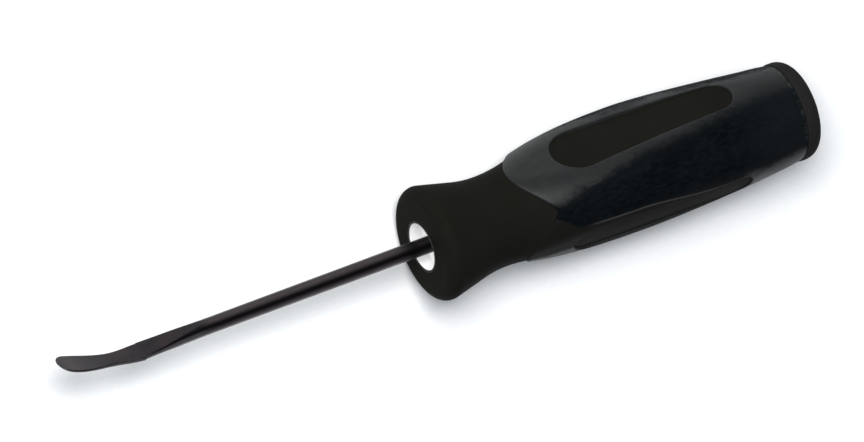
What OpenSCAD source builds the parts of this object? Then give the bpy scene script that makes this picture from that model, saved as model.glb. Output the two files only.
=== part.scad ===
// Seal removal tool: a forged blade with a bent spatula tip in a three-sided, two-material handle.
// The axis of the tool runs along X, with the tip at -X and the butt at +X.
// The tool lies on its flared nose and on the flat side of the handle.
// Places along the tool are distances from the nose face, positive towards the butt.

/* [Overall] */
// Length of the whole tool, from the tip of the blade to the butt
tool_length = 214.5; // [175:0.5:260]
// Length of the handle, from the nose face to the butt
handle_length = 110; // [90:0.5:135]

/* [Nose] */
// Largest radius of the flared nose
flare_radius = 15; // [12.5:0.1:18]
// Radius that rounds the rim of the nose face
rim_round = 3; // [1.5:0.1:5]
// Radius of the hollow curve between the flare and the waist
waist_curve = 29.1; // [15:0.1:60]
// Radius of the handle at its waist
waist_radius = 11.9; // [9.9:0.1:14.3]
// Place of the waist
waist_place = 19.6; // [16:0.1:24]
// Radius of the hollow curve behind the waist
waist_sweep = 41; // [30:1:60]

/* [Three-sided grip] */
// Distance from the waist to the grip's front edge, halfway between its points and its bays
grip_setback = 8.8; // [7.5:0.1:12]
// How far the points and bays of the front edge lie from halfway
grip_wave = 3.8; // [0.5:0.1:4.5]
// How far the grip stands proud of the nose at its front edge
grip_proud = 0.25; // [0.1:0.05:0.8]
// How far the crest of a lobe rises over the front edge at the belly
lobe_swell = 4.6; // [3:0.1:6]
// Place where the lobes are highest
belly_place = 60; // [50:1:72]
// How far a flat side rises over the front edge where it is highest
flat_swell = 1.6; // [1:0.1:2.2]
// Place where the flat sides are highest
crest_place = 72; // [60:1:84]
// How much larger the grip's radius is at its rear edge than at its front edge
back_swell = 0.15; // [0:0.05:0.6]
// Thickness of the grip along its length
grip_wall = 2.4; // [1.8:0.1:3]
// Thickness of the grip at its front and rear edges
grip_edge_wall = 1.5; // [1.1:0.1:1.9]

/* [Windows] */
// Length of grip between the points of its front edge and the front end of a window
window_margin = 13.2; // [10:0.1:16]
// Distance from the rear end of each window to the butt
window_back = 20.8; // [15:0.1:28]
// Radius of the wide front end of a window
window_front_radius = 7.2; // [6:0.1:9]
// Radius of the narrow rear end of a window
window_back_radius = 4.9; // [3.5:0.1:6.5]
// Depth of the hard pad below the flat side, at the middle of a window
pad_recess = 0.45; // [0.1:0.05:0.8]
// Radius of the pad's crown across the handle
pad_crown = 60; // [35:1:120]

/* [Butt cap] */
// Length of the cap behind the grip
cap_length = 4.9; // [3.6:0.1:8]
// How far the cap stands proud of the grip
cap_proud = 0.3; // [0.1:0.05:0.8]
// Radius that rounds the edge of the butt
cap_round = 3.4; // [1:0.1:3.5]

/* [Inner core] */
// Radius of the core
core_radius = 6.8; // [5.6:0.1:8.2]
// Length of core behind the end of the tang
tang_cover = 8; // [4:0.5:12]
// Depth of the cup in the core's front end
cup_depth = 3.2; // [2:0.1:6]
// Thickness of the cup's lip at the nose face
cup_lip = 0.6; // [0.4:0.05:1.2]
// Slope of the cup's wall
cup_taper = 8; // [3:1:15]
// Number of locking grooves round the core
groove_count = 3; // [1:1:4]
// Depth of a locking groove
groove_depth = 0.8; // [0.4:0.1:1.2]
// Width of a locking groove
groove_width = 3; // [2:0.5:5]

/* [Shank and tang] */
// Diameter of the shank at the handle
shank_root_diameter = 4.3; // [3.6:0.1:5.3]
// Diameter of the shank where the forged tip begins
shank_tip_diameter = 4.15; // [3.4:0.05:5]
// Length of the tang inside the core, from the nose face
tang_length = 70; // [56:0.5:84]
// Place of the collar that seats the blade in the core
collar_place = 8; // [6.5:0.1:12]
// Diameter of the collar
collar_diameter = 7; // [6:0.1:8]
// Thickness of the collar
collar_thickness = 3; // [2:0.5:5]
// Number of pairs of wings pressed out of the tang
wing_count = 2; // [1:1:2]
// Distance across a pair of wings
wing_span = 7.2; // [6:0.1:9]
// Thickness of the wings
wing_thickness = 2.2; // [1.6:0.1:3]
// Radius of the curved edge of a wing
wing_curve = 8; // [6.6:0.1:12]

/* [Forged tip] */
// Distance from the tip back to where the upper flat begins
flat_length = 44; // [36:0.5:52]
// Distance from the tip back to where the lower flat begins
under_flat_length = 35.4; // [30:0.1:36]
// Distance from the tip back to the shoulder, where the strip begins
strip_length = 23.9; // [18:0.1:28.5]
// Width across the shoulder
shoulder_width = 6.1; // [4.8:0.1:7]
// Width of the strip at its waist
strip_waist_width = 4.7; // [3.6:0.1:5.4]
// Distance from the tip back to the waist of the strip
strip_waist_length = 15.5; // [12:0.5:17]
// Width of the spatula at its widest
spatula_width = 5.8; // [4.8:0.1:7]
// Distance from the tip back to the widest part of the spatula
spatula_length = 4.6; // [3:0.1:6]
// Thickness of the strip at the shoulder
strip_thickness = 1.35; // [1:0.05:1.7]
// Thickness of the spatula near its end
spatula_thickness = 0.8; // [0.6:0.05:1]
// Radius to which the strip is bent
bend_radius = 59; // [45:1:90]
// Distance from the tip back to where the bend begins
bend_length = 26.5; // [20:0.1:31]
// How far the strip lies below the shank's axis where the bend begins
strip_drop = 0.33; // [0:0.01:0.6]

/* [Hidden] */
$fn = 96;

// Directions round the axis: 0 is +Y and 90 is straight up
window_angles = [30, 150, 270];
lobe_spread = 60;

// Main places, from the nose face
blade_length = tool_length - handle_length;
nose_x = tool_length / 2 - handle_length;
grip_front = waist_place + grip_setback;
grip_start = grip_front - grip_wave;
grip_end = handle_length - cap_length;
window_front = grip_start + window_margin;
window_end = handle_length - window_back;
core_length = tang_length + tang_cover;

// Straight flare between the round rim and the hollow curve, which takes at most this share of its room
largest_fit = 0.9;
rim_centre = [rim_round, flare_radius - rim_round];
curve_run = waist_place - rim_centre[0];
curve_fall = rim_centre[1] - waist_radius;
curve_room = (pow(curve_run, 2) + pow(curve_fall, 2) - pow(rim_round, 2)) / (2 * (rim_round + curve_fall));
curve_radius = curve_fall + rim_round > 0 ? min(waist_curve, largest_fit * curve_room) : waist_curve;
curve_centre = [waist_place, waist_radius + curve_radius];
curve_reach = norm(curve_centre - rim_centre);
flare_taper = asin((rim_round + curve_radius) / curve_reach) - atan2(curve_radius - curve_fall, curve_run);
rim_point = rim_centre + rim_round * [sin(flare_taper), cos(flare_taper)];
waist_point = curve_centre - curve_radius * [sin(flare_taper), cos(flare_taper)];

// Fineness of the moulded grip and the forged blade
grip_rings = 30;
grip_spokes = 72;
seat_rings = 8;
tip_steps = 44;
side_steps = 14;
window_steps = 30;
pad_bands = 18;

// Shape of the grip's rise and fall
lobe_rise = 2.6;
flat_rise = 2;
flat_fall = 4;
lobe_turn = 0.25;
point_turn = 1.2;
bay_turn = 0.06;

// Shape of the forged tip
first_flat = 0.995;
flat_turn = 0.2;
spatula_round = 0.9;
strip_round = 1.6;
end_roundness = 2.4;
end_share = 0.997;
end_thinning = 0.35;

// Running gap between the shank and the core in the floor of the cup
shank_gap = 0.03;

// Cutters and buried ends reach past the surface by this much
overshoot = 5;
reach = 2 * flare_radius + overshoot;

// Share of the way from a to b, held between 0 and 1
function share(x, a, b) = min(1, max(0, (x - a) / (b - a)));
// A share that starts and ends level
function ease(t) = t * t * (3 - 2 * t);
// A share that starts level and then runs nearly straight
function ramp(t, turn) = (sqrt(turn * turn + t * t) - turn) / (sqrt(turn * turn + 1) - turn);
function mix(a, b, t) = a + (b - a) * t;
// Height of an arc above its lowest point
function arc_rise(run, radius) = radius - sqrt(radius * radius - run * run);

// Radius of the nose behind the waist
function nose_radius(x) = waist_radius + arc_rise(x - waist_place, waist_sweep);

// Main radii of the grip
grip_front_radius = nose_radius(grip_start) + grip_proud;
grip_back_radius = grip_front_radius + back_swell;
belly_lobe = grip_front_radius + lobe_swell;
crest_flat = grip_front_radius + flat_swell;

// Distance from the axis to the flat sides
function flat_at(x) = x < crest_place
    ? mix(crest_flat, grip_front_radius, pow(1 - share(x, grip_start, crest_place), flat_rise))
    : mix(crest_flat, grip_back_radius, pow(share(x, crest_place, grip_end), flat_fall));
// Distance from the axis to the crests of the lobes
function lobe_line(x) = x < belly_place
    ? mix(belly_lobe, grip_front_radius, pow(1 - share(x, grip_start, belly_place), lobe_rise))
    : mix(belly_lobe, grip_back_radius, ramp(share(x, belly_place, grip_end), lobe_turn));
function lobe_at(x) = max(flat_at(x), lobe_line(x));

// Angle between a direction and the middle of the nearest window
function window_offset(angle) = abs((angle - window_angles[0] + 420) % 120 - 60);
// Outline of three flats joined by three round lobes: distance from the axis at an angle
function lobed(offset, flat, lobe) =
    let(
        shift = 2 * (lobe - flat),
        round_radius = 2 * flat - lobe,
        turn = lobe_spread - offset
    )
    flat * tan(offset) <= shift * sin(lobe_spread)
        ? flat / cos(offset)
        : shift * cos(turn) + sqrt(pow(round_radius, 2) - pow(shift * sin(turn), 2));
function grip_radius(x, angle) = lobed(window_offset(angle), flat_at(x), lobe_at(x));
// The grip's front edge runs forward in a round point over each flat and back in a bay over each lobe
function grip_edge(angle) =
    let(way = 1 - ramp(1 - window_offset(angle) / lobe_spread, bay_turn))
    grip_front + grip_wave * (2 * ramp(way, point_turn) - 1);

// The hard seat under the grip follows its form, and the grip thins towards its edges
function wall_at(x) = mix(grip_edge_wall, grip_wall, sin(180 * share(x, grip_start, grip_end)));
function seat_form(x, angle) = grip_radius(x, angle) - wall_at(x);
// Radius of what joins inside the seat, halfway between the core and the waist
inner_radius = (core_radius + waist_radius) / 2;

function round_point(x, radius, angle) = [x, radius * cos(angle), radius * sin(angle)];
function spoke_angle(j) = 360 * j / grip_spokes;
// Place of one of a number of rings, which follow the wavy front edge and end level at the rear
function ring_place(angle, i, count) = mix(grip_edge(angle), grip_end, i / count);
// Triangles between two rings of points that have the same count, cut along one diagonal or the other
function ring_faces(a, b, count, other = false) = [
    for (j = [0 : count - 1])
        let(k = (j + 1) % count)
        for (face = other
            ? [[a + j, b + j, a + k], [b + j, b + k, a + k]]
            : [[a + j, b + j, b + k], [a + j, b + k, a + k]])
            face
];

// Turns a shape that was drawn round Z so that its axis is X
module along_x() {
    rotate([90, 0, 90])
        children();
}

// Solid of revolution round X, from an outline of [place, radius] points
module turned() {
    along_x()
        rotate_extrude()
            mirror([1, -1, 0])
                children();
}

// Places children with their local Z pointing along a direction round the axis
module facing(angle) {
    rotate([angle - 90, 0, 0])
        children();
}

// Half outline of the nose: rounded rim, straight flare and hollow waist
module nose_outline() {
    nose_end = grip_front + grip_wave + overshoot;
    difference() {
        union() {
            translate([rim_round, flare_radius - rim_round])
                circle(r = rim_round);
            square([rim_point[0], flare_radius - rim_round]);
            polygon([
                [rim_round, 0],
                [rim_round, flare_radius - rim_round],
                rim_point,
                waist_point,
                [waist_point[0], flare_radius],
                [nose_end, flare_radius],
                [nose_end, 0]
            ]);
        }
        translate(curve_centre)
            circle(r = curve_radius);
        intersection() {
            translate([waist_place, waist_radius + waist_sweep])
                circle(r = waist_sweep, $fn = 240);
            translate([waist_place, 0])
                square([nose_end, reach]);
        }
    }
}

// Space for the grip round the seat, with the same wavy front wall as the grip
module seat_space() {
    corners = 6;
    back = grip_front + grip_wave + 2 * overshoot;
    rings = [
        for (corner = [0 : corners - 1])
            for (j = [0 : grip_spokes - 1])
                let(
                    angle = spoke_angle(j),
                    edge = grip_edge(angle),
                    seat = seat_form(edge, angle),
                    skin = grip_radius(edge, angle),
                    radius = [inner_radius, seat, skin, reach, reach, inner_radius][corner]
                )
                round_point(corner < 4 ? edge : back, radius, angle)
    ];
    polyhedron(rings, [
        for (side = [0 : corners - 1])
            each ring_faces(side * grip_spokes, (side + 1) % corners * grip_spokes, grip_spokes)
    ]);
}

// Three-lobed seat that carries the grip, buried in the nose and in the cap at its ends
module seat() {
    last = seat_rings + 2;
    rings = [
        for (i = [0 : last])
            for (j = [0 : grip_spokes - 1])
                let(angle = spoke_angle(j), x = ring_place(angle, i - 1, seat_rings))
                i == 0 ? round_point(waist_place, inner_radius, angle)
                : i == last ? round_point(grip_end + cap_length / 2, seat_form(grip_end, angle), angle)
                : round_point(x, seat_form(x, angle), angle)
    ];
    polyhedron(rings, [
        [for (j = [grip_spokes - 1 : -1 : 0]) j],
        for (i = [0 : last - 1])
            each ring_faces(i * grip_spokes, (i + 1) * grip_spokes, grip_spokes),
        [for (j = [0 : grip_spokes - 1]) last * grip_spokes + j]
    ]);
}

// Outline of a window: two round ends joined by their tangents
module window_outline() {
    front_x = window_front + window_front_radius;
    back_x = window_end - window_back_radius;
    lean = asin((window_front_radius - window_back_radius) / (back_x - front_x));
    polygon([
        for (i = [0 : window_steps])
            let(turn = mix(90 - lean, 270 + lean, i / window_steps))
            [front_x + window_front_radius * cos(turn), window_front_radius * sin(turn)],
        for (i = [0 : window_steps])
            let(turn = mix(lean - 90, 90 - lean, i / window_steps))
            [back_x + window_back_radius * cos(turn), window_back_radius * sin(turn)]
    ]);
}

// Column with a window's outline, from the axis outwards
module window_column() {
    linear_extrude(height = reach)
        window_outline();
}

// Hard pad that fills a window, crowned across the handle
module pad() {
    axis_depth = pad_crown - crest_flat;
    start_x = window_front - overshoot;
    end_x = window_end + overshoot;
    intersection() {
        window_column();
        translate([0, 0, -axis_depth])
            turned()
                polygon([
                    [start_x, 0],
                    for (i = [0 : pad_bands])
                        let(x = mix(start_x, end_x, i / pad_bands))
                        [x, axis_depth + flat_at(x) - pad_recess],
                    [end_x, 0]
                ]);
    }
}

// Half outline of the butt cap
module cap_outline() {
    cap_radius = grip_back_radius + cap_proud;
    corner = [handle_length - cap_round, cap_radius - cap_round];
    translate([grip_end, 0])
        square([cap_length, corner[1]]);
    translate([grip_end, 0])
        square([cap_length - cap_round, cap_radius]);
    intersection() {
        translate(corner)
            circle(r = cap_round);
        translate([corner[0], 0])
            square([cap_round, cap_radius]);
    }
}

// Half outline of the core with its locking grooves
module core_outline() {
    difference() {
        square([core_length, core_radius]);
        for (i = [1 : groove_count])
            translate([core_length * i / (groove_count + 1) - groove_width / 2, core_radius - groove_depth])
                square([groove_width, core_radius]);
    }
}

// Cup in the front end of the core
module cup_outline() {
    mouth = core_radius - cup_lip;
    polygon([
        [-overshoot, 0],
        [-overshoot, mouth + overshoot * tan(cup_taper)],
        [cup_depth, mouth - cup_depth * tan(cup_taper)],
        [cup_depth, 0]
    ]);
}

// Wings pressed out of the tang, which stop it turning in the core
module wings() {
    offset_y = wing_curve - wing_span / 2;
    for (i = [1 : wing_count])
        translate([tang_length * i / (wing_count + 1), 0, -wing_thickness / 2])
            linear_extrude(height = wing_thickness)
                intersection() {
                    translate([0, offset_y])
                        circle(r = wing_curve);
                    translate([0, -offset_y])
                        circle(r = wing_curve);
                }
}

// Collar, round tang with its chamfered end, and wings
module tang() {
    chamfer = root_radius / 2;
    translate([collar_place, 0, 0])
        along_x()
            cylinder(h = collar_thickness, r = collar_diameter / 2);
    translate([collar_place, 0, 0])
        along_x()
            cylinder(h = tang_length - collar_place - chamfer, r = root_radius);
    translate([tang_length - chamfer, 0, 0])
        along_x()
            cylinder(h = chamfer, r1 = root_radius, r2 = root_radius - chamfer);
    wings();
}

// Forged blade: places are distances d from the nose face towards the tip
root_radius = shank_root_diameter / 2;
tip_radius = shank_tip_diameter / 2;
root_place = -collar_place - collar_thickness / 2;
flat_start = blade_length - flat_length;
under_start = blade_length - under_flat_length;
strip_start = blade_length - strip_length;
strip_waist = blade_length - strip_waist_length;
spatula_start = blade_length - spatula_length;
bend_start = blade_length - bend_length;

// Height of the middle of the strip over the shank's axis, and its slope
function strip_middle(d) = arc_rise(max(0, d - bend_start), bend_radius) - strip_drop;
function strip_slope(d) = asin(max(0, d - bend_start) / bend_radius);
tip_place = blade_length - spatula_thickness / 2 * end_thinning * sin(strip_slope(blade_length));
// Half the thickness, which thins towards the spatula and again at its edge
function half_thickness(d) =
    mix(strip_thickness, spatula_thickness, share(d, strip_start, spatula_start)) / 2
    * mix(1, end_thinning, pow(share(d, spatula_start, tip_place), 3));
// Radius of the shank, which tapers a little towards the tip
function shank_radius(d) = mix(root_radius, tip_radius, share(d, 0, flat_start));
// Half the width, from the round shank through the shoulder and waist to the spatula
function half_width(d) =
    d <= flat_start ? shank_radius(d)
    : d < strip_start ? mix(tip_radius, shoulder_width / 2, pow(share(d, flat_start, strip_start), 1.5))
    : d < strip_waist ? mix(shoulder_width, strip_waist_width, ease(share(d, strip_start, strip_waist))) / 2
    : d < spatula_start
        ? mix(strip_waist_width, spatula_width, ease(share(d, strip_waist, spatula_start))) / 2
    : spatula_width / 2 * sqrt(1 - pow(min(end_share, share(d, spatula_start, tip_place)), end_roundness));
// Height of the rounded sides before the flats cut them
function side_height(d) =
    d < strip_start ? mix(shank_radius(d), strip_round, ease(share(d, under_start, strip_start)))
    : mix(strip_round, spatula_round, share(d, strip_start, spatula_start));
// Heights of the upper and lower flats over the shank's axis or the strip's middle
function upper_flat(d) = mix(
    shank_radius(d) * first_flat,
    half_thickness(d) + strip_middle(strip_start) * (d < strip_start ? 1 : 0),
    ramp(share(d, flat_start, strip_start), flat_turn)
);
function lower_flat(d) = mix(
    shank_radius(d) * first_flat,
    half_thickness(d) - strip_middle(strip_start) * (d < strip_start ? 1 : 0),
    ease(share(d, under_start, strip_start))
);

// One section of the blade: two round sides between the flats
function blade_section(d) =
    let(
        slope = d < strip_start ? 0 : strip_slope(d),
        middle = d < strip_start ? 0 : strip_middle(d),
        upper = asin(min(first_flat, upper_flat(d) / side_height(d))),
        lower = asin(min(first_flat, lower_flat(d) / side_height(d)))
    )
    [
        for (side = [1, -1])
            for (i = [0 : side_steps])
                let(
                    way = side > 0 ? i / side_steps : 1 - i / side_steps,
                    turn = mix(-lower, upper, way),
                    rise = side_height(d) * sin(turn)
                )
                [
                    -d + rise * sin(slope),
                    side * half_width(d) * cos(turn),
                    middle + rise * cos(slope)
                ]
    ];

// The shank runs straight from the collar, and sections crowd towards the end of the spatula
blade_places = [
    root_place,
    0,
    for (i = [0 : tip_steps])
        mix(flat_start, tip_place, 1 - pow(1 - i / tip_steps, 1.5))
];

// Shank and forged tip, lofted through their sections
module shank_and_tip() {
    count = 2 * (side_steps + 1);
    last = len(blade_places) - 1;
    points = [
        for (place = blade_places)
            each blade_section(place)
    ];
    polyhedron(points, [
        [for (j = [count - 1 : -1 : 0]) j],
        for (i = [0 : last - 1])
            each ring_faces((i + 1) * count, i * count, count),
        [for (j = [0 : count - 1]) last * count + j]
    ]);
}

// Forged blade: bent spatula tip, round shank and tang
module blade() {
    color([0.2, 0.18, 0.17])
        facing(window_angles[0]) {
            shank_and_tip();
            tang();
        }
}

// White core, moulded round the tang, with a cup where the shank comes out
module core() {
    color([0.93, 0.93, 0.91])
        difference() {
            turned()
                core_outline();
            turned()
                cup_outline();
            along_x()
                cylinder(h = -root_place, r = root_radius + shank_gap);
            facing(window_angles[0])
                tang();
        }
}

// Hard body: flared nose, seat and pads under the grip, and butt cap
module body() {
    color([0.11, 0.11, 0.1])
        difference() {
            union() {
                difference() {
                    turned()
                        nose_outline();
                    seat_space();
                }
                seat();
                for (angle = window_angles)
                    facing(angle)
                        pad();
                turned()
                    cap_outline();
            }
            turned()
                core_outline();
        }
}

// Soft grip moulded over the body, with three windows. Its inside runs back along the rings of the seat.
module grip() {
    inner = grip_rings + 1;
    count = inner + seat_rings + 1;
    rings = [
        for (i = [0 : count - 1])
            for (j = [0 : grip_spokes - 1])
                let(
                    angle = spoke_angle(j),
                    outer_x = ring_place(angle, i, grip_rings),
                    inner_x = ring_place(angle, count - 1 - i, seat_rings)
                )
                i < inner
                    ? round_point(outer_x, grip_radius(outer_x, angle), angle)
                    : round_point(inner_x, seat_form(inner_x, angle), angle)
    ];
    color([0.17, 0.18, 0.19])
        difference() {
            polyhedron(rings, [
                for (i = [0 : count - 1])
                    let(inside = i >= inner && i < count - 1)
                    each ring_faces(i * grip_spokes, (i + 1) % count * grip_spokes, grip_spokes, inside)
            ]);
            for (angle = window_angles)
                facing(angle)
                    window_column();
        }
}

// The whole tool in its resting place, with the floor at Z = 0
module placed() {
    translate([nose_x, 0, flare_radius])
        children();
}

placed() blade();
placed() core();
placed() body();
placed() grip();
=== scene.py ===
"""Looks of the seal removal tool: forged blade, white core, hard black body and soft grip."""
import math

import bmesh
import bpy
from mathutils import Matrix, Vector


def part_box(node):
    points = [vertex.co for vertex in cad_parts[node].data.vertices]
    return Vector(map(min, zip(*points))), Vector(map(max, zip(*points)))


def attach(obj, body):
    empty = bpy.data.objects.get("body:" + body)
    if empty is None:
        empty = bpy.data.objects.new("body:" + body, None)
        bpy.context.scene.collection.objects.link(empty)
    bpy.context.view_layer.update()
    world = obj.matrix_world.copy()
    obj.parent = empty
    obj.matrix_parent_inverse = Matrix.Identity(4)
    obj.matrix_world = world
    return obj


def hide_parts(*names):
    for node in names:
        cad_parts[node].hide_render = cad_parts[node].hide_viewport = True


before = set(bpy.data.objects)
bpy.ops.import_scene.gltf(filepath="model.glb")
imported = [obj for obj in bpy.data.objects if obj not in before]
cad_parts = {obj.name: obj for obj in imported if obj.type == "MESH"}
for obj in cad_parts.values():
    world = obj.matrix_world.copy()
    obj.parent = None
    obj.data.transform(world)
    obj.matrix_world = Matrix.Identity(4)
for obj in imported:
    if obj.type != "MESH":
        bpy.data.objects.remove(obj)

MM = 0.001
DEGREE = math.pi / 180
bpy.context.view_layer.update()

# Places of the tool in the frame, where x is the distance from the nose face towards the butt
body_low, body_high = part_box("body")
nose_place = body_low.x
axis_height = (body_low.z + body_high.z) / 2
handle_length = body_high.x - body_low.x
blade_length = nose_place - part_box("blade")[0].x

# Angles round the tool's axis: a window and a flat side lie in the middle of each third
quarter = math.pi / 2
crest_angle = math.pi / 3
window_angles = [angle * DEGREE for angle in (30, 150, 270)]
blade_angle = window_angles[0]
palm_side = window_angles[1]

# Nose
flare_radius = 15 * MM
rim_round = 3 * MM
mouth_round = 0.3 * MM
waist_curve = 29.1 * MM
waist_radius = 11.9 * MM
waist_place = 19.6 * MM
waist_sweep = 41 * MM

# Three-sided grip: its front edge, the swell of its lobes and flats, and its thickness
grip_front = waist_place + 8.8 * MM
grip_wave = 3.8 * MM
grip_proud = 0.25 * MM
point_turn = 1.2
bay_turn = 0.06
lobe_swell = 4.6 * MM
lobe_rise = 2.6
lobe_turn = 0.25
belly_place = 60 * MM
flat_swell = 1.6 * MM
flat_rise = 2
flat_fall = 4
crest_place = 72 * MM
back_swell = 0.15 * MM
grip_wall = 2.4 * MM
grip_edge_wall = 1.5 * MM
lip_round = 0.3 * MM
front_round = 0.6 * MM
back_round = 0.3 * MM

# Where shade is painted on the grip: how far from a lobe's crest, and how far over the palm side
shade_places = [34 * MM, 46 * MM, 60 * MM, 76 * MM, 94 * MM]
shade_angles = [8 * DEGREE, 17 * DEGREE, 25 * DEGREE, 30 * DEGREE, 39 * DEGREE]
shade_fade = 13 * DEGREE
palm_end = (80 * MM, 92 * MM)
palm_edge = (-0.3, 0)
lip_shade = 0.5

# Windows
window_margin = 13.2 * MM
window_back = 20.8 * MM
window_front_radius = 7.2 * MM
window_back_radius = 4.9 * MM
pad_recess = 0.45 * MM
pad_crown = 60 * MM
pad_round = 0.15 * MM

# Butt cap and core
cap_length = 4.9 * MM
cap_proud = 0.3 * MM
cap_round = 3.4 * MM
cap_edge_round = 0.3 * MM
core_radius = 6.8 * MM
core_length = 78 * MM

# Shank and tang
root_radius = 2.15 * MM
tip_radius = 2.075 * MM
tang_length = 70 * MM
tang_chamfer = root_radius / 2
collar_place = 8 * MM
collar_radius = 3.5 * MM
collar_thickness = 3 * MM
wing_span = 7.2 * MM
wing_thickness = 2.2 * MM
wing_curve = 8 * MM
wing_count = 2

# Forged tip: two flats run down to a strip, which bends up into the spatula
flat_length = 44 * MM
flat_turn = 0.2
under_flat_length = 35.4 * MM
strip_length = 23.9 * MM
strip_thickness = 1.35 * MM
strip_drop = 0.33 * MM
strip_round = 1.6 * MM
strip_waist_width = 4.7 * MM
strip_waist_length = 15.5 * MM
shoulder_width = 6.1 * MM
shoulder_curve = 1.5
bend_radius = 59 * MM
bend_length = 26.5 * MM
spatula_width = 6.8 * MM
spatula_length = 4.6 * MM
spatula_thickness = 0.8 * MM
spatula_round = 0.9 * MM
end_roundness = 2.8
end_share = 0.997
end_thinning = 0.35
thinning_curve = 3
ridge_softness = 0.1 * MM
ridge_wear = 0.12 * MM

# Fineness of the meshes, where points closer than the weld become one
front_count = 48
side_count = 64
back_count = 32
skin_rings = 26
skin_crowding = 1.6
lip_steps = 6
seat_rings = 8
pad_rings = 10
turn_steps = 16
blade_rings = 150
blade_crowding = 1.5
blade_spokes = 96
edge_rounds = 6
weld = 0.001 * MM


def share(value, start, end):
    """Share of the way from start to end, held between 0 and 1."""
    return min(1, max(0, (value - start) / (end - start)))


def ease(t):
    """A share that starts and ends level."""
    return t * t * (3 - 2 * t)


def ramp(t, turn):
    """A share that starts level and then runs nearly straight."""
    return (math.hypot(turn, t) - turn) / (math.hypot(turn, 1) - turn)


def mix(a, b, t):
    """The value, or point, a share of the way from a to b."""
    return a + (b - a) * t


def stretch(start, end, count):
    """Values from start up to, and without, end."""
    return [mix(start, end, i / count) for i in range(count)]


def span(start, end, count):
    """Values from start to end, both included, with count steps between them."""
    return [mix(start, end, i / count) for i in range(count + 1)]


def level_at(value, places, levels):
    """A level that runs straight between the levels at a few places."""
    level = levels[0]
    for a, b, low, high in zip(places, places[1:], levels, levels[1:]):
        if value > a:
            level = mix(low, high, share(value, a, b))
    return level


def arc_rise(run, radius):
    """Height of an arc above its lowest point."""
    return radius - math.sqrt(radius**2 - run**2)


def place(x, y, z, angle=quarter):
    """A point of a sector whose own z axis points along a direction round the tool's axis."""
    sin, cos = math.sin(angle), math.cos(angle)
    return Vector((nose_place + x, y * sin + z * cos, axis_height - y * cos + z * sin))


def turned(x, radius, offset, angle):
    """A point of a sector at a radius and at an angle from the sector's middle."""
    return place(x, radius * math.sin(offset), radius * math.cos(offset), angle)


# Shape of the nose and the grip
grip_start = grip_front - grip_wave
grip_end = handle_length - cap_length
window_front = grip_start + window_margin
window_end = handle_length - window_back
window_front_centre = window_front + window_front_radius
window_back_centre = window_end - window_back_radius


def nose_radius(x):
    """Radius of the hard body between the waist and the grip."""
    return waist_radius + arc_rise(x - waist_place, waist_sweep)


grip_front_radius = nose_radius(grip_start) + grip_proud
grip_back_radius = grip_front_radius + back_swell
belly_lobe = grip_front_radius + lobe_swell
crest_flat = grip_front_radius + flat_swell


def flat_at(x):
    """Distance from the axis to the flat sides."""
    if x < crest_place:
        rest = (1 - share(x, grip_start, crest_place)) ** flat_rise
        return mix(crest_flat, grip_front_radius, rest)
    return mix(crest_flat, grip_back_radius, share(x, crest_place, grip_end) ** flat_fall)


def lobe_at(x):
    """Distance from the axis to the crests of the lobes."""
    if x < belly_place:
        rest = (1 - share(x, grip_start, belly_place)) ** lobe_rise
        crest = mix(belly_lobe, grip_front_radius, rest)
    else:
        way = ramp(share(x, belly_place, grip_end), lobe_turn)
        crest = mix(belly_lobe, grip_back_radius, way)
    return max(flat_at(x), crest)


def section(x):
    """The flat's distance and half width and the lobes' radius at a place along the grip."""
    flat, lobe = flat_at(x), lobe_at(x)
    return flat, 2 * (lobe - flat) * math.sin(crest_angle), 2 * flat - lobe


def skin(x, across, depth=0):
    """Point (y, z) of the grip's skin.

    across runs from -1 to 1 between two lobe crests, and depth goes inwards.
    """
    flat, half_flat, radius = section(x)
    way = abs(across) * (half_flat + radius * crest_angle)
    turn = max(0, way - half_flat) / radius
    y = min(way, half_flat) + radius * math.sin(turn)
    z = flat - radius * (1 - math.cos(turn))
    inward = 1 - depth / math.hypot(y, z)
    return math.copysign(y * inward, across), z * inward


def across_at(x, y):
    """The share across the skin at a distance y from the middle of the flat."""
    _, half_flat, radius = section(x)
    way = min(abs(y), half_flat) + radius * math.asin(max(0, abs(y) - half_flat) / radius)
    return math.copysign(way / (half_flat + radius * crest_angle), y)


def edge_place(offset):
    """Place of the grip's front edge at an angle from the middle of a window."""
    way = 1 - ramp(1 - abs(offset) / crest_angle, bay_turn)
    return grip_front + grip_wave * (2 * ramp(way, point_turn) - 1)


def front_edge(across):
    """Place of the front edge at a share across the skin, found in a few rounds."""
    x = grip_front
    for _ in range(edge_rounds):
        y, z = skin(x, across)
        x = edge_place(math.atan2(y, z))
    return x


def painted_shade(x, across, angle):
    """Share of painted shade on the grip, on the lobe crests and the palm side."""
    y, z = skin(x, across)
    from_crest = crest_angle - abs(math.atan2(y, z))
    reach = level_at(x, shade_places, shade_angles)
    crest = 1 - ease(share(from_crest, reach - shade_fade, reach + shade_fade))
    if angle != palm_side:
        return crest
    palm = ease(share(across, *palm_edge)) * (1 - ease(share(x, *palm_end)))
    return max(crest, palm)


def wall_at(x):
    """Thickness of the grip."""
    return mix(grip_edge_wall, grip_wall, math.sin(math.pi * share(x, grip_start, grip_end)))


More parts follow.
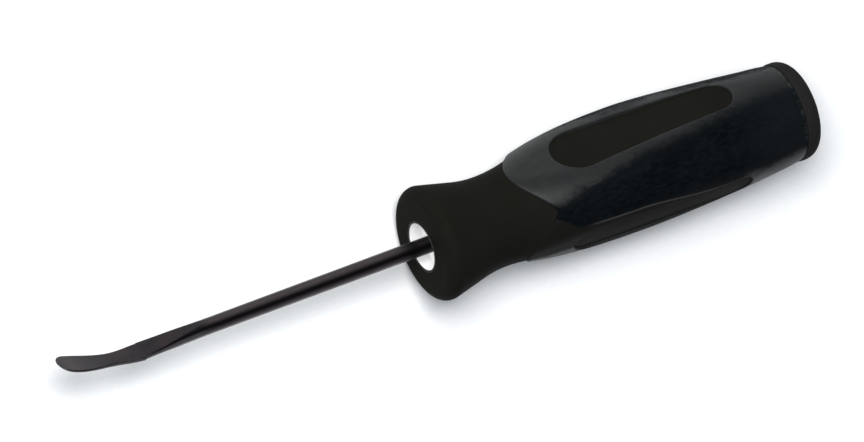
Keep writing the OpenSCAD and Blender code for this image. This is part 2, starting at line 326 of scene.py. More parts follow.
class Shape:
    """Points and faces of one piece, made ring by ring, with a share at each point that marks the
    blade's abraded ridges, painted shade on the grip and the butt cap on the body.
    """

    def __init__(self):
        self.points = []
        self.wear_and_shade = []
        self.faces = []

    def ring(self, points, wear_and_shade=None):
        """Adds a ring of points and gives their numbers."""
        first = len(self.points)
        self.points += points
        self.wear_and_shade += wear_and_shade or [0] * len(points)
        return list(range(first, len(self.points)))

    def join(self, a, b, closed=True):
        """Faces between two rings with the same number of points."""
        count = len(a) if closed else len(a) - 1
        for i in range(count):
            j = (i + 1) % len(a)
            self.faces.append((a[i], b[i], b[j], a[j]))

    def join_all(self, rings, closed=True):
        for a, b in zip(rings, rings[1:]):
            self.join(a, b, closed)

    def close(self, ring):
        """One face over the whole ring."""
        self.faces.append(tuple(ring))

    def piece(self, name, sharp=40 * DEGREE):
        """The finished piece, smooth but for edges sharper than an angle."""
        mesh = bpy.data.meshes.new(name)
        mesh.from_pydata(self.points, [], self.faces)
        mesh.attributes.new("wear_and_shade", "FLOAT", "POINT").data.foreach_set("value", self.wear_and_shade)
        work = bmesh.new()
        work.from_mesh(mesh)
        bmesh.ops.remove_doubles(work, verts=work.verts, dist=weld)
        bmesh.ops.recalc_face_normals(work, faces=work.faces)
        work.to_mesh(mesh)
        work.free()
        mesh.shade_smooth()
        mesh.set_sharp_from_angle(angle=sharp)
        piece = bpy.data.objects.new(name, mesh)
        bpy.context.scene.collection.objects.link(piece)
        return piece


def window_ring(spread):
    """Points (x, y) round a window's outline, moved outwards by spread."""
    taper = (window_front_radius - window_back_radius) / (window_back_centre - window_front_centre)
    side = quarter - math.asin(taper)

    def on_front(turn):
        reach = window_front_radius + spread
        return Vector((window_front_centre + reach * math.cos(turn), reach * math.sin(turn)))

    def on_back(turn):
        reach = window_back_radius + spread
        return Vector((window_back_centre + reach * math.cos(turn), reach * math.sin(turn)))

    return (
        [on_front(turn) for turn in stretch(-side, side - 2 * math.pi, front_count)]
        + stretch(on_front(side), on_back(side), side_count)
        + [on_back(turn) for turn in stretch(side, -side, back_count)]
        + stretch(on_back(-side), on_front(-side), side_count)
    )


def spine_ring():
    """Points (x, y) on the middle line of a window, one for each point of its outline."""
    front, back = Vector((window_front_centre, 0)), Vector((window_back_centre, 0))
    return (
        [front] * front_count
        + stretch(front, back, side_count)
        + [back] * back_count
        + stretch(back, front, side_count)
    )


def border_ring(front_shift, back_shift):
    """Points (x, across) round one third of the skin, one for each point of a window's outline."""
    back_x = grip_end - back_shift
    side_x = front_edge(1) + front_shift
    return (
        [(front_edge(across) + front_shift, across) for across in stretch(-1, 1, front_count)]
        + [(x, 1) for x in stretch(side_x, back_x, side_count)]
        + [(back_x, across) for across in stretch(1, -1, back_count)]
        + [(x, -1) for x in stretch(back_x, side_x, side_count)]
    )


def round_steps(radius):
    """Pairs (distance from the wall, drop below the top) down a quarter round."""
    return [
        (radius * (1 - math.sin(turn)), radius * (1 - math.cos(turn)))
        for turn in (quarter * i / lip_steps for i in range(lip_steps + 1))
    ]


def skin_ring(points, angle, depth_of=lambda x: 0):
    """Places of (x, across) points on the grip's skin, or under it."""
    return [place(x, *skin(x, across, depth_of(x)), angle) for x, across in points]


def rounded_edge(shape, outer, inner, angle, radius, spots_at):
    """Rounded outer edge and wall at one end of the grip.

    spots_at gives the (x, across) points of the edge at a distance inside the grip's end.
    """
    rings = [outer]
    for inside, drop in round_steps(radius)[1:]:
        spots = spots_at(inside)
        rings.append(shape.ring(
            skin_ring(spots, angle, lambda x: drop),
            [painted_shade(*spot, angle) for spot in spots],
        ))
    rings.append(inner)
    shape.join_all(rings, closed=False)


def grip_sector(shape, angle):
    """One third of the grip: outer skin, rounded lip and wall of the window, and inside."""
    rings = []
    border = border_ring(front_round, back_round)
    top = [(x, across_at(x, y)) for x, y in window_ring(lip_round)]
    for i in range(skin_rings):
        t = (1 - i / skin_rings) ** skin_crowding
        spots = [
            (mix(x, far_x, t), mix(across, far_across, t))
            for (x, across), (far_x, far_across) in zip(top, border)
        ]
        # Share of painted shade at each point of the skin
        wear_and_shade = [painted_shade(*spot, angle) for spot in spots]
        rings.append(shape.ring(skin_ring(spots, angle), wear_and_shade))
    for spread, drop in round_steps(lip_round):
        spots = [(x, y, across_at(x, y)) for x, y in window_ring(spread)]
        rings.append(shape.ring(
            [place(x, y, skin(x, across)[1] - drop, angle) for x, y, across in spots],
            [lip_shade * painted_shade(x, across, angle) for x, _, across in spots],
        ))
    border = border_ring(0, 0)
    top = [(x, across_at(x, y)) for x, y in window_ring(0)]
    for i in range(seat_rings + 1):
        t = i / seat_rings
        spots = [
            (mix(x, far_x, t), mix(across, far_across, t))
            for (x, across), (far_x, far_across) in zip(top, border)
        ]
        rings.append(shape.ring(skin_ring(spots, angle, wall_at)))
    shape.join_all(rings)

    outer, inner = rings[0], rings[-1]
    back_first = front_count + side_count
    front, back = slice(0, front_count + 1), slice(back_first, back_first + back_count + 1)

    def front_spots(inside):
        return [(front_edge(across) + inside, across) for across in span(-1, 1, front_count)]

    def back_spots(inside):
        return [(grip_end - inside, across) for across in span(1, -1, back_count)]

    rounded_edge(shape, outer[front], inner[front], angle, front_round, front_spots)
    rounded_edge(shape, outer[back], inner[back], angle, back_round, back_spots)


def make_grip():
    """Soft grip, made of three equal thirds."""
    shape = Shape()
    for angle in window_angles:
        grip_sector(shape, angle)
    return shape.piece("soft_grip")


def arc(centre, radius, start, end):
    """Points (x, r) along an arc. Its angles are measured from the x axis."""
    return [
        (centre[0] + radius * math.cos(turn), centre[1] + radius * math.sin(turn))
        for turn in span(start, end, turn_steps)
    ]


def nose_outline():
    """Points (x, r) from the bore, over the rim and down the flare to the waist."""
    rim_centre = (rim_round, flare_radius - rim_round)
    curve_centre = (waist_place, waist_radius + waist_curve)
    run, rise = curve_centre[0] - rim_centre[0], curve_centre[1] - rim_centre[1]
    taper = math.asin((rim_round + waist_curve) / math.hypot(run, rise)) - math.atan2(rise, run)
    return (
        [(core_length, 0), (core_length, core_radius)]
        + arc((mouth_round, core_radius + mouth_round), mouth_round, 3 * quarter, 2 * quarter)
        + arc(rim_centre, rim_round, 2 * quarter, quarter - taper)
        + arc(curve_centre, waist_curve, -quarter - taper, -quarter)
    )


def cap_outline():
    """Points (x, r) from the grip's rear edge over the cap to the middle of the butt."""
    radius = grip_back_radius + cap_proud
    edge_centre = (grip_end + cap_edge_round, radius - cap_edge_round)
    butt_centre = (handle_length - cap_round, radius - cap_round)
    return (
        arc(edge_centre, cap_edge_round, 2 * quarter, quarter)
        + arc(butt_centre, cap_round, quarter, 0)
        + [(handle_length, 0)]
    )


def pad_top(x, y):
    """Height of the hard pad in a window, which is crowned across the handle."""
    centre_depth = pad_crown - crest_flat
    return math.sqrt((centre_depth + flat_at(x) - pad_recess) ** 2 - y**2) - centre_depth


def pad(shape, angle):
    """Hard pad that fills a window, on a foot inside the seat."""
    foot = crest_flat - 2 * grip_wall
    rings = [shape.ring([place(x, y, foot, angle) for x, y in window_ring(0)])]
    for inside, drop in reversed(round_steps(pad_round)):
        outline = window_ring(-inside)
        rings.append(shape.ring([place(x, y, pad_top(x, y) - drop, angle) for x, y in outline]))
    for i in range(1, pad_rings + 1):
        ring = []
        for edge, middle in zip(window_ring(-pad_round), spine_ring()):
            x, y = mix(edge, middle, i / pad_rings)
            ring.append(place(x, y, pad_top(x, y), angle))
        rings.append(shape.ring(ring))
    shape.join_all(rings)
    shape.close(rings[0])


def make_body():
    """Hard body: nose, waist, the seat under the grip, the butt cap, and a pad in each window."""
    shape = Shape()
    thirds = reversed(window_angles)
    spokes = [(angle, across) for angle in thirds for across in stretch(-1, 1, front_count)]

    def round_ring(x, radius, wear_and_shade=0):
        points = [turned(x, radius, across * crest_angle, angle) for angle, across in spokes]
        return shape.ring(points, [wear_and_shade] * len(points))

    def waist_point(t, angle, offset):
        x = mix(waist_place, edge_place(offset), t)
        return turned(x, nose_radius(x), offset, angle)

    def seat_point(t, angle, across):
        x = mix(front_edge(across), grip_end, t)
        return place(x, *skin(x, across, wall_at(x)), angle)

    rings = [round_ring(x, radius) for x, radius in nose_outline()]
    for i in range(1, turn_steps + 1):
        t = i / turn_steps
        rings.append(shape.ring([
            waist_point(t, angle, across * crest_angle) for angle, across in spokes
        ]))
    for i in range(seat_rings + 1):
        t = i / seat_rings
        rings.append(shape.ring([seat_point(t, angle, across) for angle, across in spokes]))
    rings += [round_ring(x, radius, wear_and_shade=1) for x, radius in cap_outline()]
    shape.join_all(rings)
    for angle in window_angles:
        pad(shape, angle)
    return shape.piece("hard_body")


# Shape of the blade, where d is the distance from the nose face towards the tip
flat_start = blade_length - flat_length
under_start = blade_length - under_flat_length
strip_start = blade_length - strip_length
strip_waist = blade_length - strip_waist_length
spatula_start = blade_length - spatula_length
bend_start = blade_length - bend_length


def strip_middle(d):
    """Height of the strip's middle above the axis."""
    return arc_rise(max(0, d - bend_start), bend_radius) - strip_drop


def strip_slope(d):
    """Angle by which the strip leans up."""
    return math.asin(max(0, d - bend_start) / bend_radius)


# The last section leans with the strip, so it stands back by what its thickness adds
end_half_thickness = spatula_thickness / 2 * end_thinning
tip_place = blade_length - end_half_thickness * math.sin(strip_slope(blade_length))


def half_thickness(d):
    """Half the thickness of strip and spatula, which thins towards the end."""
    thickness = mix(strip_thickness, spatula_thickness, share(d, strip_start, spatula_start))
    end = share(d, spatula_start, tip_place)
    return thickness / 2 * mix(1, end_thinning, end**thinning_curve)


def shank_radius(d):
    return mix(root_radius, tip_radius, share(d, 0, flat_start))


def half_width(d):
    """Half the blade's width, from the shank over shoulder and waist to the rounded end."""
    if d <= flat_start:
        return shank_radius(d)
    if d < strip_start:
        way = share(d, flat_start, strip_start) ** shoulder_curve
        return mix(tip_radius, shoulder_width / 2, way)
    if d < strip_waist:
        way = ease(share(d, strip_start, strip_waist))
        return mix(shoulder_width, strip_waist_width, way) / 2
    if d < spatula_start:
        way = ease(share(d, strip_waist, spatula_start))
        return mix(strip_waist_width, spatula_width, way) / 2
    end = min(end_share, share(d, spatula_start, tip_place))
    return spatula_width / 2 * math.sqrt(1 - end**end_roundness)


def side_height(d):
    """Half the height of the round sides, which the flats cut off."""
    if d < strip_start:
        return mix(shank_radius(d), strip_round, ease(share(d, under_start, strip_start)))
    return mix(strip_round, spatula_round, share(d, strip_start, spatula_start))


def upper_flat(d):
    """Height of the upper flat over the middle of the section."""
    rest = strip_middle(strip_start) if d < strip_start else 0
    way = ramp(share(d, flat_start, strip_start), flat_turn)
    return mix(shank_radius(d), half_thickness(d) + rest, way)


def lower_flat(d):
    """Depth of the lower flat under the middle of the section."""
    rest = strip_middle(strip_start) if d < strip_start else 0
    way = ease(share(d, under_start, strip_start))
    return mix(shank_radius(d), half_thickness(d) - rest, way)


def softer(a, b, softness):
    """The smaller of two heights, with a rounded ridge where they meet."""
    return (a + b - math.hypot(a - b, softness)) / 2


def blade_ring(shape, d):
    """One section of the forged part: round sides between two flats, with soft ridges."""
    slope = 0 if d < strip_start else strip_slope(d)
    middle = 0 if d < strip_start else strip_middle(d)
    flattened = share(d, flat_start, strip_start)
    points, wear_and_shade = [], []
    for turn in stretch(0, 2 * math.pi, blade_spokes):
        side = side_height(d) * math.sin(turn)
        rise = softer(side, upper_flat(d), ridge_softness * flattened)
        rise = -softer(-rise, lower_flat(d), ridge_softness * flattened)
        points.append(place(
            -d + rise * math.sin(slope),
            half_width(d) * math.cos(turn),
            middle + rise * math.cos(slope),
            blade_angle,
        ))
        from_ridge = min(abs(side - upper_flat(d)), abs(side + lower_flat(d)))
        wear_and_shade.append(math.exp(-((from_ridge / ridge_wear) ** 2)) * flattened)
    return shape.ring(points, wear_and_shade)


def wing(shape, centre_x):
    """Lens-shaped wing pressed out of the tang, as a closed plate."""
    offset_y = wing_curve - wing_span / 2
    reach = math.acos(offset_y / wing_curve)
    outline = []
    for side in (1, -1):
        for turn in stretch(-reach, reach, turn_steps):
            across = wing_curve * math.cos(turn) - offset_y
            outline.append((centre_x + side * wing_curve * math.sin(turn), side * across))
    plates = [
        shape.ring([place(x, y, z, blade_angle) for x, y in outline])
        for z in (-wing_thickness / 2, wing_thickness / 2)
    ]
    shape.join_all(plates)
    for plate in plates:
        shape.close(plate)


def make_blade():
    """Blade from the end of the tang to the tip, with the collar and the wings."""
    shape = Shape()
    collar_back = collar_place + collar_thickness
    tang = [
        (tang_length, root_radius - tang_chamfer),
        (tang_length - tang_chamfer, root_radius),
        (collar_back, root_radius),
        (collar_back, collar_radius),
        (collar_place, collar_radius),
        (collar_place, root_radius),
        (0, root_radius),
    ]
    rings = []
    for x, radius in tang:
        rings.append(shape.ring([
            place(x, radius * math.cos(turn), radius * math.sin(turn), blade_angle)
            for turn in stretch(0, 2 * math.pi, blade_spokes)
        ]))
    for i in range(blade_rings + 1):
        way = 1 - (1 - i / blade_rings) ** blade_crowding
        rings.append(blade_ring(shape, mix(flat_start, tip_place, way)))
    shape.join_all(rings)
    shape.close(rings[0])
    shape.close(rings[-1])
    for i in range(1, wing_count + 1):
        wing(shape, tang_length * i / (wing_count + 1))
    return shape.piece("forged_blade", sharp=50 * DEGREE)


class Value:
    """An output in a finish's node tree, with arithmetic that adds Math nodes."""

    def __init__(self, finish, output):
        self.finish = finish
        self.output = output

    def combine(self, operation, first, second):
        return self.finish.node("ShaderNodeMath", {"operation": operation}, {0: first, 1: second})

    def __add__(self, other):
        return self.combine("ADD", self, other)

    def __radd__(self, other):
        return self.combine("ADD", other, self)

    def __sub__(self, other):
        return self.combine("SUBTRACT", self, other)

    def __rsub__(self, other):
        return self.combine("SUBTRACT", other, self)

    def __mul__(self, other):
        return self.combine("MULTIPLY", self, other)

    def __rmul__(self, other):
        return self.combine("MULTIPLY", other, self)


class Finish:
    """One surface finish: a material and the nodes that make it. Colours are three numbers."""

    def __init__(self, name, world=None):
        self.owner = world or bpy.data.materials.new(name)
        self.owner.use_nodes = True
        self.tree = self.owner.node_tree
        self.tree.nodes.clear()

    def node(self, kind, settings=None, sockets=None, output=0):
        """Adds a node: its settings first, then the values or links of its sockets."""
        node = self.tree.nodes.new(kind)
        for name, value in (settings or {}).items():
            setattr(node, name, value)
        for name, value in (sockets or {}).items():
            socket = node.inputs[name]
            if isinstance(value, Value):
                self.tree.links.new(value.output, socket)
            elif socket.type == "RGBA":
                socket.default_value = (*value, 1)
            else:
                socket.default_value = value
        return Value(self, node.outputs[output]) if node.outputs else None

    def coordinate(self, axis, of="Object"):
        """One coordinate of the point on the surface, or of its normal."""
        point = self.node("ShaderNodeTexCoord", output=of)
        return self.node("ShaderNodeSeparateXYZ", sockets={"Vector": point}, output=axis)

    def along(self):
        """Distance of the point from the nose face towards the butt."""
        return self.coordinate("X") - nose_place

    def angle(self, rise, run):
        """Direction round the tool's axis: 0 is +Y and a quarter turn is straight up."""
        return self.node("ShaderNodeMath", {"operation": "ARCTAN2"}, {0: rise, 1: run})

    def direction(self):
        """Direction in which the point lies from the axis."""
        return self.angle(self.coordinate("Z") - axis_height, self.coordinate("Y"))

    def facing(self):
        """Direction in which the surface faces."""
        return self.angle(self.coordinate("Z", "Normal"), self.coordinate("Y", "Normal"))

    def wear_and_shade(self):
        """The share that the piece carries at its points: abraded ridges on the blade, painted
        shade on the grip, the butt cap on the body.
        """
        return self.node("ShaderNodeAttribute", {"attribute_name": "wear_and_shade"}, output="Fac")

    def noise(self, size, detail=3, roughness=0.5, stretched=(1, 1, 1)):
        """Noise whose features are about size metres, stretched along the axes."""
        point = self.node("ShaderNodeTexCoord", output="Object")
        if stretched != (1, 1, 1):
            scale = [1 / s for s in stretched]
            settings = {"operation": "MULTIPLY"}
            point = self.node("ShaderNodeVectorMath", settings, {0: point, 1: scale})
        return self.node(
            "ShaderNodeTexNoise",
            sockets={"Vector": point, "Scale": 1 / size, "Detail": detail, "Roughness": roughness},
        )

    def between(self, value, low, high, start=0.0, end=1.0):
        """A value eased from the range low to high into the range start to end, and held there."""
        return self.node(
            "ShaderNodeMapRange",
            {"clamp": True, "interpolation_type": "SMOOTHSTEP"},
            {"Value": value, "From Min": low, "From Max": high, "To Min": start, "To Max": end},
        )

    def fall(self, value, low, high):
        """A share that falls from 1 to 0 between low and high."""
        return self.between(value, low, high, 1.0, 0.0)

    def band(self, value, start, full, full_end, end):
        """A share that rises from start to full and falls again from full_end to end."""
        return self.between(value, start, full) * self.fall(value, full_end, end)

    def blend(self, amount, first, second):
        """A colour between two colours."""
        colours = {0: amount, 6: first, 7: second}
        return self.node("ShaderNodeMix", {"data_type": "RGBA"}, colours, output=2)

    def coats(self, colour, *coats):
        """A colour with coats laid over it, each given as an amount and a colour."""
        for amount, coat in coats:
            colour = self.blend(amount, colour, coat)
        return colour

    def bump(self, height, distance, strength, normal=None):
        """A normal that follows a height, laid over another normal if there is one."""
        sockets = {"Height": height, "Distance": distance, "Strength": strength}
        if normal:
            sockets["Normal"] = normal
        return self.node("ShaderNodeBump", sockets=sockets)

    def shader(self, **sockets):
        """A Principled shader. A double underscore in a name stands for a space."""
        named = {name.replace("__", " "): value for name, value in sockets.items()}
        return self.node("ShaderNodeBsdfPrincipled", sockets=named)

    def surface(self, shader):
        """The finished material, which shows this shader."""
        self.node("ShaderNodeOutputMaterial", sockets={"Surface": shader})
        return self.owner


# The middle of a noise, and the range in which most of it lies
noise_middle = 0.5
most_noise = (0.3, 0.7)

# Colours of the soft grip: a lit copy, with painted light on the flats, and a shaded copy, with
# painted shade on the lobe crests and the palm side
charcoal_green = (0.0045, 0.0064, 0.0060)
charcoal_grey = (0.0075, 0.0075, 0.0075)
charcoal_patch = (0.0120, 0.0130, 0.0130)
charcoal_mottle = (0.0180, 0.0190, 0.0188)
charcoal_rear_shade = (0.0020, 0.0026, 0.0026)
rear_highlight_grey = (0.1050, 0.1060, 0.1060)
charcoal_edge = (0.0700, 0.0710, 0.0700)
shaded_black = (0.0006, 0.0013, 0.0020)
shaded_patch = (0.0030, 0.0042, 0.0052)
shaded_mottle = (0.0078, 0.0100, 0.0112)
shaded_rear_lifted = (0.0080, 0.0105, 0.0120)
shaded_worn_edge = (0.0380, 0.0390, 0.0390)
window_shade_black = (0.0085, 0.0087, 0.0073)
window_highlight_grey = (0.0420, 0.0400, 0.0380)

# Painted shade: a black area by the lower window, whose edge turns further round the tool at two
# places, with a painted highlight line along that edge
first_turn_places = (30 * MM, 39 * MM)
first_turn_angles = (96 * DEGREE, 115 * DEGREE)
second_turn_places = (54 * MM, 84 * MM)
second_turn_angles = (0.0, 16 * DEGREE)
window_shade_fade = (-0.008, 0.010)
window_shade_rear_places = (83 * MM, 88 * MM)
window_shade_lower_angles = (152 * DEGREE, 158 * DEGREE)
window_highlight_fade = (-0.055, -0.024, -0.008, 0.006)
window_highlight_places = (38 * MM, 44 * MM, 85 * MM, 92 * MM)

# The rear of the grip: painted shade darkens the lit copy there and painted light lifts the shaded
# copy, a painted highlight runs along one side, and the rear edge is abraded
rear_places = (80 * MM, 99 * MM)
rear_highlight_angles = (-1.0, -0.6, -0.12, 0.30)
worn_edge_places = (grip_end - 1.3 * MM, grip_end - 0.1 * MM)

# How much clouds, leathery grain and the painted black area add to the painted shade, and where it
# is complete
shade_from_cloud = 1.5
shade_from_leather = 1.2
shade_from_window_shade = 2
full_shade = 0.88


def window_shade_and_highlight(finish):
    """Painted shade and highlight: the black area beside the lower window, and the thin pale line
    along its edge.
    """
    along, direction = finish.along(), finish.direction()
    edge = finish.between(along, *first_turn_places, *first_turn_angles)
    edge = edge + finish.between(along, *second_turn_places, *second_turn_angles)
    past_edge = direction - edge
    black = finish.between(past_edge, *window_shade_fade) * finish.fall(along, *window_shade_rear_places)
    black = black * finish.fall(direction, *window_shade_lower_angles)
    line = finish.band(past_edge, *window_highlight_fade) * finish.band(along, *window_highlight_places)
    return black, line


def soft_grip_finish():
    """Charcoal soft plastic with a leathery grain and an abraded rear edge, in a lit copy with more
    sheen and a shaded copy: painted shade on the lobe crests, the palm side and a black area by the
    lower window, and painted highlights along that area's edge and one side of the rear.
    """
    finish = Finish("soft_charcoal_plastic")
    grain = finish.noise(0.35 * MM, detail=4, roughness=0.6)
    pores = finish.noise(0.12 * MM, detail=2)
    leather = finish.noise(1.3 * MM, detail=5, roughness=0.65, stretched=(1.6, 0.8, 0.8))
    cloud = finish.noise(8 * MM, detail=4, roughness=0.6, stretched=(2, 1, 1))
    hue = finish.noise(13 * MM)
    patches = finish.between(cloud, 0.35, 0.7)
    mottle = finish.between(leather, 0.3, 0.72)

    # Painted shade in a black area by the lower window, and a painted highlight along its edge
    black, line = window_shade_and_highlight(finish)
    rear = finish.between(finish.along(), *rear_places)
    # Painted highlight along one side of the rear
    rear_highlight = rear * finish.band(finish.direction(), *rear_highlight_angles)
    worn_edge = finish.between(finish.along(), *worn_edge_places)
    worn_edge = 0.6 * worn_edge * finish.between(leather, 0.48, 0.62)
    # Painted shade, mottled by clouds and leathery grain
    shade = finish.wear_and_shade() + shade_from_cloud * (cloud - noise_middle)
    shade = shade + shade_from_leather * (leather - noise_middle) + shade_from_window_shade * black

    # Lit copy: painted light, with more sheen, on the flats
    pale = finish.coats(
        charcoal_green,
        (finish.between(hue, 0.4, 0.6), charcoal_grey),
        (0.5 * patches, charcoal_patch),
        (0.5 * mottle, charcoal_mottle),
        # Painted shade on the lit copy at the rear, then the painted highlight along one side
        (0.6 * rear, charcoal_rear_shade),
        (rear_highlight, rear_highlight_grey),
        (worn_edge, charcoal_edge),
    )
    # Shaded copy: painted shade on the lobe crests and the palm side
    dark = finish.coats(
        shaded_black,
        (patches, shaded_patch),
        (0.5 * mottle, shaded_mottle),
        # Painted light lifts the shaded copy at the rear
        (0.5 * rear, shaded_rear_lifted),
        (worn_edge, shaded_worn_edge),
        # Painted black shade by the lower window and a painted highlight along its edge
        (black, window_shade_black),
        (line, window_highlight_grey),
    )
    surface = {
        "Roughness": finish.between(grain * 0.6 + cloud * 0.4, *most_noise, 0.46, 0.60),
        "Normal": finish.bump(
            grain + 0.4 * pores, 0.03 * MM, 0.5, finish.bump(leather, 0.05 * MM, 0.35)
        ),
    }
    # A lit and a shaded copy of one plastic, mixed by the painted shade
    lit_copy = finish.shader(Base__Color=pale, Specular__IOR__Level=0.25, **surface)
    shaded_copy = finish.shader(Base__Color=dark, Specular__IOR__Level=0.012, **surface)
    shaders = {0: finish.between(shade, 0.0, full_shade), 1: lit_copy, 2: shaded_copy}
    return finish.surface(finish.node("ShaderNodeMixShader", sockets=shaders))


# Colours of the hard body
body_black = (0.0082, 0.0085, 0.0066)
body_cloud = (0.0096, 0.0099, 0.0080)
cap_black = (0.0155, 0.0150, 0.0150)


def hard_body_finish():
    """Hard black plastic with a fine satin texture, a little greyer on the butt cap."""
    finish = Finish("hard_black_plastic")
    texture = finish.noise(0.22 * MM, roughness=0.6)
    cloud = finish.noise(14 * MM)
    return finish.surface(finish.shader(
        Base__Color=finish.coats(
            body_black,
            (finish.between(cloud, *most_noise), body_cloud),
            (finish.wear_and_shade(), cap_black),
        ),
        Roughness=finish.between(texture * 0.5 + cloud * 0.5, *most_noise, 0.50, 0.62),
        Specular__IOR__Level=0.008,
        Normal=finish.bump(texture, 0.015 * MM, 0.4),
    ))


# Colours of the blade
oxide_grey = (0.019, 0.0165, 0.0182)
oxide_patch = (0.032, 0.0275, 0.030)
oxide_brown = (0.045, 0.030, 0.030)
shank_grey = (0.038, 0.032, 0.034)
shank_painted_highlight = (0.125, 0.105, 0.111)
shank_patch = (0.052, 0.040, 0.043)
far_side_reflected_light = (0.130, 0.120, 0.125)
dark_reflection_black = (0.0070, 0.0062, 0.0068)
nose_shade_black = (0.0030, 0.0028, 0.0030)
bare_steel = (0.15, 0.14, 0.15)

# Where the shank ends towards the tip, where the painted dark reflection along the top ends, and
# where painted shade darkens the shank by the nose
shank_places = (-66 * MM, -60 * MM)
dark_reflection_places = (-84 * MM, -79 * MM)
nose_shade_places = (-9 * MM, -2 * MM)

# Directions in which the blade's painted highlight, painted dark reflection and painted pale far
# side face
shank_highlight_angles = (28 * DEGREE, 46 * DEGREE)
dark_reflection_angles = (42 * DEGREE, 78 * DEGREE, 90 * DEGREE, 122 * DEGREE)
far_side_angles = (84 * DEGREE, 104 * DEGREE)


def blade_finish():
    """Black-oxide steel with grinding lines and bare ridges, with painted light and shade: a
    highlight on the shank's upper side, a dark reflection along the top, reflected light on the
    forged part's far side and shade by the nose.
    """
    finish = Finish("black_oxide_steel")
    along, facing = finish.along(), finish.facing()
    lines = finish.noise(0.16 * MM, roughness=0.6, stretched=(30, 1, 1))
    mottle = finish.noise(2.2 * MM, detail=5, roughness=0.6, stretched=(2, 1, 1))
    tint = finish.noise(7 * MM, detail=2)
    uneven = lines * 0.5 + mottle * 0.5
    patches = finish.between(uneven, 0.35, 0.65)
    bare = finish.between(finish.wear_and_shade() * (mottle + 0.35), 0.35, 0.95)

    # A painted dark reflection runs along the top, and on the forged part the side beyond it is
    # painted pale as reflected light
    on_shank = finish.between(along, *shank_places)
    far_side = (1 - on_shank) * finish.between(facing, *far_side_angles)
    band = finish.band(facing, *dark_reflection_angles) * (1 - far_side) * finish.between(along, *dark_reflection_places)

    forged = finish.coats(
        oxide_grey,
        (patches, oxide_patch),
        (0.4 * finish.between(tint, 0.48, 0.68), oxide_brown),
    )
    shank = finish.coats(
        shank_grey,
        # Painted highlight along the shank's upper side
        (finish.between(facing, *shank_highlight_angles), shank_painted_highlight),
        (0.55 * patches, shank_patch),
    )
    colour = finish.coats(
        forged,
        (on_shank, shank),
        # Painted reflected light on the forged part's far side
        (0.85 * far_side, far_side_reflected_light),
        # Painted dark reflection along the top
        (band, dark_reflection_black),
        # Painted shade on the shank beside the nose
        (0.8 * finish.between(along, *nose_shade_places), nose_shade_black),
        (0.5 * bare, bare_steel),
    )
    return finish.surface(finish.shader(
        Base__Color=colour,
        Metallic=0.85,
        Specular__IOR__Level=0.1,
        Roughness=finish.between(uneven, *most_noise, 0.30, 0.44),
        Normal=finish.bump(lines, 0.01 * MM, 0.35, finish.bump(mottle, 0.02 * MM, 0.2)),
    ))


# Colours of the core
core_white = (0.93, 0.93, 0.91)
core_cloud = (0.88, 0.88, 0.86)
speck_grey = (0.45, 0.44, 0.43)
film_black = (0.009, 0.009, 0.0075)
painted_glow_white = (1, 1, 0.98)
no_glow = (0, 0, 0)

# The film covers the rim: what lies outside these radii or in front of these depths
film_radii = (6.4 * MM, 6.55 * MM)
film_depths = (0.03 * MM, 0.10 * MM)


def core_finish():
    """White plastic that light sinks into, with faint grey specks, a black film over its rim, and a
    faint painted glow that lifts the shade inside its cup.
    """
    finish = Finish("white_plastic")
    y, z = finish.coordinate("Y"), finish.coordinate("Z") - axis_height
    inside = finish.fall(y * y + z * z, *(radius**2 for radius in film_radii))
    inside = inside * finish.between(finish.along(), *film_depths)
    specks = finish.noise(0.5 * MM, detail=4, roughness=0.7)
    cloud = finish.noise(3 * MM)
    white = finish.coats(
        core_white,
        (finish.between(cloud, *most_noise), core_cloud),
        (0.5 * finish.between(specks, 0.58, 0.70), speck_grey),
    )
    return finish.surface(finish.shader(
        Base__Color=finish.blend(inside, film_black, white),
        Roughness=finish.between(specks, *most_noise, 0.38, 0.5),
        Specular__IOR__Level=0.05,
        # A faint painted glow lifts the shade inside the cup
        Emission__Color=finish.blend(inside, no_glow, painted_glow_white),
        Emission__Strength=0.13,
        Subsurface__Weight=1.0,
        Subsurface__Radius=(1, 1, 1),
        Subsurface__Scale=2.5 * MM,
        Normal=finish.bump(specks, 0.02 * MM, 0.3),
    ))


# Floor
floor_half = 3.0
paper_white = (0.965, 0.97, 0.975)
paper_fibre = (0.985, 0.99, 0.995)


def paper_finish():
    """Pale paper under the tool."""
    finish = Finish("pale_paper")
    fibres = finish.between(finish.noise(1.5 * MM, detail=2), *most_noise)
    colour = finish.blend(fibres, paper_white, paper_fibre)
    shader = finish.shader(Base__Color=colour, Roughness=0.95, Specular__IOR__Level=0.0)
    return finish.surface(shader)


def dress(piece, finish):
    """Gives a piece one finish all over."""
    piece.data.materials.clear()
    piece.data.materials.append(finish)


def stand_for(piece, node, finish):
    """A modelled piece that stands for a node of the frame: it takes the given finish and hangs
    from the root, and the node's own part is hidden.
    """
    dress(piece, finish)
    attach(piece, "root")
    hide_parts(node)


def make_floor():
    """Square sheet of paper, which isn't part of the tool."""
    corners = [(-floor_half, -floor_half, 0), (floor_half, -floor_half, 0),
               (floor_half, floor_half, 0), (-floor_half, floor_half, 0)]
    mesh = bpy.data.meshes.new("floor")
    mesh.from_pydata(corners, [], [(0, 1, 2, 3)])
    floor = bpy.data.objects.new("floor", mesh)
    bpy.context.scene.collection.objects.link(floor)
    dress(floor, paper_finish())


# Light: one square lamp in a pale sky
lamp_direction = (-0.3, 0.42, 0.91)
lamp_distance = 1.1
lamp_size = 0.55
lamp_power = 14.3
sky_colour = (0.86, 0.93, 1)
sky_strength = 0.32


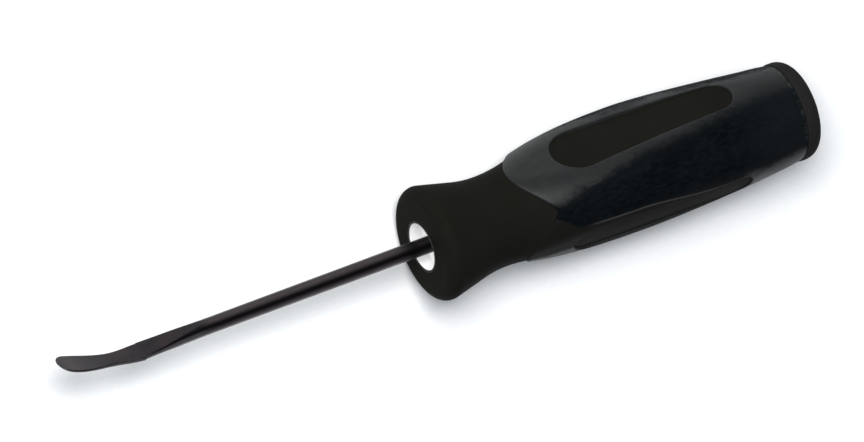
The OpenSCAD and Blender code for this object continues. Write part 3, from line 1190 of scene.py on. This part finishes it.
def make_light():
    """Soft lamp that shines at the middle of the tool, and an even sky all round."""
    lamp = bpy.data.lights.new("key_lamp", "AREA")
    lamp.size, lamp.energy = lamp_size, lamp_power
    soft_box = bpy.data.objects.new("key_lamp", lamp)
    bpy.context.scene.collection.objects.link(soft_box)
    soft_box.location = Vector(lamp_direction).normalized() * lamp_distance
    soft_box.rotation_mode = "QUATERNION"
    soft_box.rotation_quaternion = (-soft_box.location).to_track_quat("-Z", "Y")
    world = bpy.data.worlds.new("studio")
    bpy.context.scene.world = world
    sky = Finish("studio", world)
    colour = {"Color": sky_colour, "Strength": sky_strength}
    light = sky.node("ShaderNodeBackground", sockets=colour)
    sky.node("ShaderNodeOutputWorld", sockets={"Surface": light})


# The camera looks from above and from the blade's end, turned so that the tool rises to the right
image_width, image_height = 864, 442
pixels_per_mm = 4.015
nose_pixel = (421.8, 246.9)
to_camera = Vector((-0.394, 0.232, 0.889)).normalized()
tool_tilt = 20.3 * DEGREE
camera_distance = 5.0
sensor_width = 36


def make_camera():
    """Camera that shows the nose at its pixel of the photograph."""
    pixel = MM / pixels_per_mm
    lens = bpy.data.cameras.new("camera")
    lens.sensor_width = sensor_width
    lens.lens = sensor_width * camera_distance / (image_width * pixel)
    camera = bpy.data.objects.new("camera", lens)
    bpy.context.scene.collection.objects.link(camera)
    along = Vector((1, 0, 0))
    along = (along - along.dot(to_camera) * to_camera).normalized()
    above = to_camera.cross(along)
    right = math.cos(tool_tilt) * along - math.sin(tool_tilt) * above
    up = to_camera.cross(right)
    shift_right = (image_width / 2 - nose_pixel[0]) * pixel
    shift_up = (nose_pixel[1] - image_height / 2) * pixel
    nose = place(0, 0, 0)
    camera.location = nose + to_camera * camera_distance + right * shift_right + up * shift_up
    camera.rotation_mode = "QUATERNION"
    camera.rotation_quaternion = Matrix((right, up, to_camera)).transposed().to_quaternion()
    bpy.context.scene.camera = camera


stand_for(make_grip(), "grip", soft_grip_finish())
stand_for(make_body(), "body", hard_body_finish())
stand_for(make_blade(), "blade", blade_finish())
dress(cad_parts["core"], core_finish())
make_floor()
make_light()
make_camera()

view = bpy.context.scene.view_settings
view.view_transform = "Standard"
